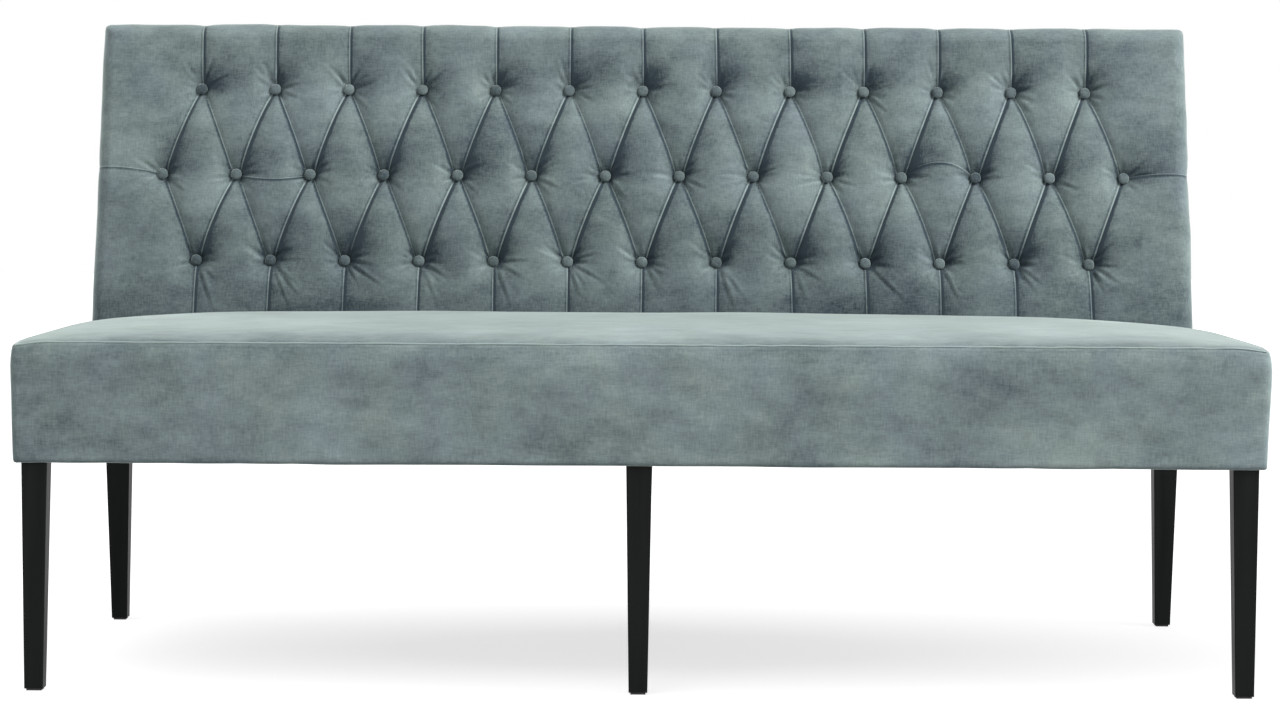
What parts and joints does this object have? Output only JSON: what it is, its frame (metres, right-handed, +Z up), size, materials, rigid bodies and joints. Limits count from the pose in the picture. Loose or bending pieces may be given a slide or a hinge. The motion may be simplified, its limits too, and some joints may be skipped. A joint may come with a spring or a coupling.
{
  "type": "dining bench",
  "caption": "Upholstered dining bench in blue-grey velvet with a deep-buttoned diamond back, boxed seat and black tapered legs.",
  "frame": {"origin": "middle of the footprint's box, on the floor", "axes": "+X along the bench to the sitter's left as seen from the front, that is to the right of the picture; +Y from the front towards the back; +Z up"},
  "size_m": [1.71, 0.628, 0.9351],
  "materials": {
    "velvet": "blue-grey pile velvet with soft nap shading",
    "black_wood": "black stained, satin lacquer",
    "beech": "sawn and sanded",
    "plywood": "raw birch plywood",
    "foam": "open-cell upholstery foam",
    "wadding": "white polyester wadding",
    "webbing": "woven elastic webbing",
    "dust_cloth": "thin black non-woven cloth",
    "zinc_steel": "bright zinc plated",
    "felt": "dense black felt"
  },
  "bodies": {
    "root": {"seat_cover": "velvet", "back_pad": "velvet", "back_outer_cover": "velvet", "back_buttons": "velvet", "front_left_leg": "black_wood", "front_centre_leg": "black_wood", "front_right_leg": "black_wood", "rear_left_leg": "black_wood", "rear_centre_leg": "black_wood", "rear_right_leg": "black_wood", "seat_front_rail": "beech", "seat_rear_rail": "beech", "seat_left_rail": "beech", "seat_right_rail": "beech", "seat_cross_rails": "beech", "seat_corner_blocks": "beech", "back_left_post": "beech", "back_right_post": "beech", "back_inner_posts": "beech", "back_top_rail": "beech", "back_lower_left_rail": "beech", "back_lower_middle_rail": "beech", "back_lower_right_rail": "beech", "back_panel": "plywood", "seat_foam": "foam", "back_liner": "wadding", "seat_webbing": "webbing", "dust_cover": "dust_cloth", "leg_screws": "zinc_steel", "leg_glides": "felt"}
  },
  "joints": []
}
